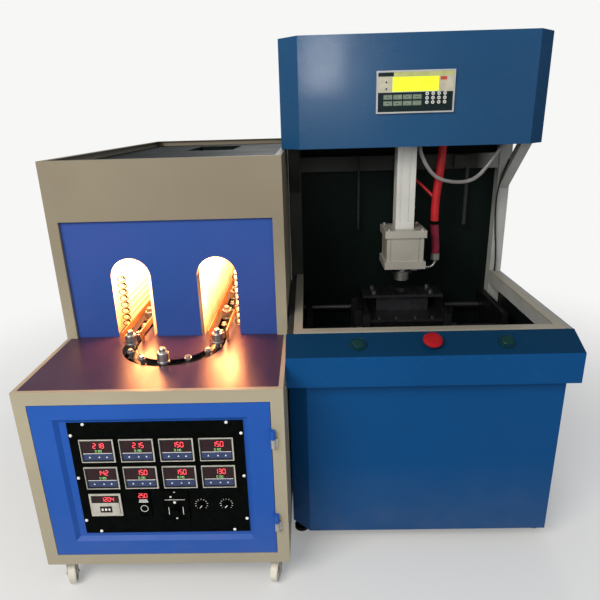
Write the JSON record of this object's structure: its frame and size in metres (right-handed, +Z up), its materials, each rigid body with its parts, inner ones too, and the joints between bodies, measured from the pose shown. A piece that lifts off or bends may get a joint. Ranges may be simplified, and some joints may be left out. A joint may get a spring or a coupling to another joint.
{
  "type": "blow moulding machine",
  "caption": "Semi-automatic bottle blow moulding set: lamp-lit preform heater with chain conveyor beside a clamping, stretching and blowing press.",
  "frame": {"origin": "on the floor under the middle of the whole set's box", "axes": "+X to the right seen from the front, +Y to the rear, +Z up"},
  "size_m": [1.787, 1.9565, 1.78],
  "materials": {
    "cream_paint": "satin",
    "cobalt_paint": "gloss",
    "steel_blue_paint": "gloss",
    "navy_paint": "gloss",
    "black_paint": "matte",
    "dark_green_paint": "satin",
    "motor_paint": "satin",
    "bright_steel": "satin",
    "chrome_rod": "polished",
    "anodised_aluminium": "satin",
    "mould_aluminium": "satin",
    "machined_steel": "satin",
    "wheel_plastic": "matte",
    "black_plastic": "matte",
    "green_plastic": "gloss",
    "red_plastic": "gloss",
    "key_plastic": "matte",
    "lamp_glass": "gloss",
    "red_hose": "satin",
    "clear_hose": "gloss",
    "cable_rubber": "matte"
  },
  "bodies": {
    "machine": {"heater_frame": "cream_paint", "heater_box": "cream_paint", "heater_skins": "cream_paint", "press_frame": "cream_paint", "tray_frame": "cream_paint", "arched_panel": "cobalt_paint", "heater_table": "navy_paint", "press_front": "steel_blue_paint", "press_sides": "steel_blue_paint", "console": "steel_blue_paint", "hood": "steel_blue_paint", "rear_cover": "dark_green_paint", "oven_deck": "dark_green_paint", "conveyor_bed": "black_paint", "gear_motor": "motor_paint", "hinge_halves": "bright_steel", "oven_tunnels": "bright_steel", "shield_rails": "bright_steel", "conveyor_chain": "bright_steel", "mandrels": "bright_steel", "operator_panel": "bright_steel", "blow_elbow": "bright_steel", "clamp_frame": "machined_steel", "press_feet": "machined_steel", "stretch_cylinder": "anodised_aluminium", "sealing_cylinder": "anodised_aluminium", "panel_keys": "key_plastic", "quartz_lamps": "lamp_glass", "blow_hose": "red_hose", "air_hose": "clear_hose", "signal_cable": "cable_rubber"},
    "door": {"control_door": "cobalt_paint", "control_plate": "black_paint", "display_modules": "black_plastic", "motor_drive": "black_plastic", "speed_controller": "black_plastic"},
    "speed_knob": {"speed_knob": "black_plastic"},
    "left_timer_knob": {"left_timer_knob": "bright_steel"},
    "right_timer_knob": {"right_timer_knob": "bright_steel"},
    "exhaust_fan": {"exhaust_fan": "machined_steel"},
    "front_wheel": {"front_wheel": "bright_steel"},
    "drive_wheel": {"drive_wheel": "bright_steel"},
    "start_button_left": {"start_button_left": "green_plastic"},
    "start_button_right": {"start_button_right": "green_plastic"},
    "stop_button": {"stop_button": "red_plastic"},
    "stretch_rod": {"stretch_rod": "chrome_rod"},
    "blow_nozzle": {"blow_nozzle": "bright_steel"},
    "left_clamp": {"left_platen": "machined_steel", "left_mould": "mould_aluminium"},
    "right_clamp": {"right_platen": "machined_steel", "right_mould": "mould_aluminium"},
    "base_mould": {"base_mould": "mould_aluminium"},
    "caster_fork_1": {"caster_fork_1": "bright_steel"},
    "caster_wheel_1": {"caster_wheel_1": "wheel_plastic"},
    "caster_fork_2": {"caster_fork_2": "bright_steel"},
    "caster_wheel_2": {"caster_wheel_2": "wheel_plastic"},
    "caster_fork_3": {"caster_fork_3": "bright_steel"},
    "caster_wheel_3": {"caster_wheel_3": "wheel_plastic"},
    "caster_fork_4": {"caster_fork_4": "bright_steel"},
    "caster_wheel_4": {"caster_wheel_4": "wheel_plastic"}
  },
  "joints": [
    {"name": "door_swing", "type": "hinge", "parent": "machine", "child": "door", "pos_m": [-0.1145, -0.97025, 0.45], "axis": [0, 0, 1], "range_deg": [0, 110]},
    {"name": "speed_knob_turn", "type": "hinge", "parent": "door", "child": "speed_knob", "pos_m": [-0.44, -0.96175, 0.3185], "axis": [0, -1, 0], "range_deg": [-150, 150]},
    {"name": "left_timer_turn", "type": "hinge", "parent": "door", "child": "left_timer_knob", "pos_m": [-0.357, -0.96175, 0.3425], "axis": [0, -1, 0], "range_deg": [-150, 150]},
    {"name": "right_timer_turn", "type": "hinge", "parent": "door", "child": "right_timer_knob", "pos_m": [-0.276, -0.96175, 0.3425], "axis": [0, -1, 0], "range_deg": [-150, 150]},
    {"name": "fan_spin", "type": "hinge", "parent": "machine", "child": "exhaust_fan", "pos_m": [-0.4785, 0.57976, 1.35], "axis": [0, 0, 1], "continuous": true},
    {"name": "drive_wheel_spin", "type": "hinge", "parent": "machine", "child": "drive_wheel", "pos_m": [-0.4785, 0.58976, 0.73], "axis": [0, 0, 1], "continuous": true},
    {"name": "front_wheel_spin", "type": "hinge", "parent": "machine", "child": "front_wheel", "pos_m": [-0.4785, -0.61975, 0.73], "axis": [0, 0, 1], "continuous": true},
    {"name": "caster_1_swivel", "type": "hinge", "parent": "machine", "child": "caster_fork_1", "pos_m": [-0.8475, -0.89575, 0.104], "axis": [0, 0, 1], "continuous": true},
    {"name": "caster_1_roll", "type": "hinge", "parent": "caster_fork_1", "child": "caster_wheel_1", "pos_m": [-0.83792, -0.92206, 0.0375], "axis": [-0.9397, -0.342, 0], "continuous": true},
    {"name": "caster_2_swivel", "type": "hinge", "parent": "machine", "child": "caster_fork_2", "pos_m": [-0.1245, -0.89575, 0.104], "axis": [0, 0, 1], "continuous": true},
    {"name": "caster_2_roll", "type": "hinge", "parent": "caster_fork_2", "child": "caster_wheel_2", "pos_m": [-0.13032, -0.92314, 0.0375], "axis": [-0.9781, 0.2079, 0], "continuous": true},
    {"name": "caster_3_swivel", "type": "hinge", "parent": "machine", "child": "caster_fork_3", "pos_m": [-0.8475, 0.91225, 0.104], "axis": [0, 0, 1], "continuous": true},
    {"name": "caster_3_roll", "type": "hinge", "parent": "caster_fork_3", "child": "caster_wheel_3", "pos_m": [-0.8615, 0.9365, 0.0375], "axis": [0.866, 0.5, 0], "continuous": true},
    {"name": "caster_4_swivel", "type": "hinge", "parent": "machine", "child": "caster_fork_4", "pos_m": [-0.1245, 0.91225, 0.104], "axis": [0, 0, 1], "continuous": true},
    {"name": "caster_4_roll", "type": "hinge", "parent": "caster_fork_4", "child": "caster_wheel_4", "pos_m": [-0.11267, 0.93763, 0.0375], "axis": [0.9063, -0.4226, 0], "continuous": true},
    {"name": "start_left_press", "type": "slide", "parent": "machine", "child": "start_button_left", "axis": [0, 0.4208, -0.9071], "range_m": [0, 0.005], "stiffness_N_per_m": 500, "springref_m": -0.004},
    {"name": "start_right_press", "type": "slide", "parent": "machine", "child": "start_button_right", "axis": [0, 0.4208, -0.9071], "range_m": [0, 0.005], "stiffness_N_per_m": 500, "springref_m": -0.004},
    {"name": "stop_press", "type": "slide", "parent": "machine", "child": "stop_button", "axis": [0, 0.4208, -0.9071], "range_m": [0, 0.006], "stiffness_N_per_m": 900, "springref_m": -0.004},
    {"name": "rod_stretch", "type": "slide", "parent": "machine", "child": "stretch_rod", "axis": [0, 0, -1], "range_m": [0, 0.4]},
    {"name": "nozzle_seal", "type": "slide", "parent": "machine", "child": "blow_nozzle", "axis": [0, 0, -1], "range_m": [0, 0.05]},
    {"name": "right_clamp_open", "type": "slide", "parent": "machine", "child": "right_clamp", "axis": [1, 0, 0], "range_m": [0, 0.13]},
    {"name": "left_clamp_open", "type": "slide", "parent": "machine", "child": "left_clamp", "axis": [-1, 0, 0], "range_m": [0, 0.13]},
    {"name": "base_drop", "type": "slide", "parent": "machine", "child": "base_mould", "axis": [0, 0, -1], "range_m": [0, 0.05]}
  ],
  "couplings": [
    {"joint": "left_clamp_open", "follows": "right_clamp_open", "ratio": 1},
    {"joint": "front_wheel_spin", "follows": "drive_wheel_spin", "ratio": 1}
  ]
}
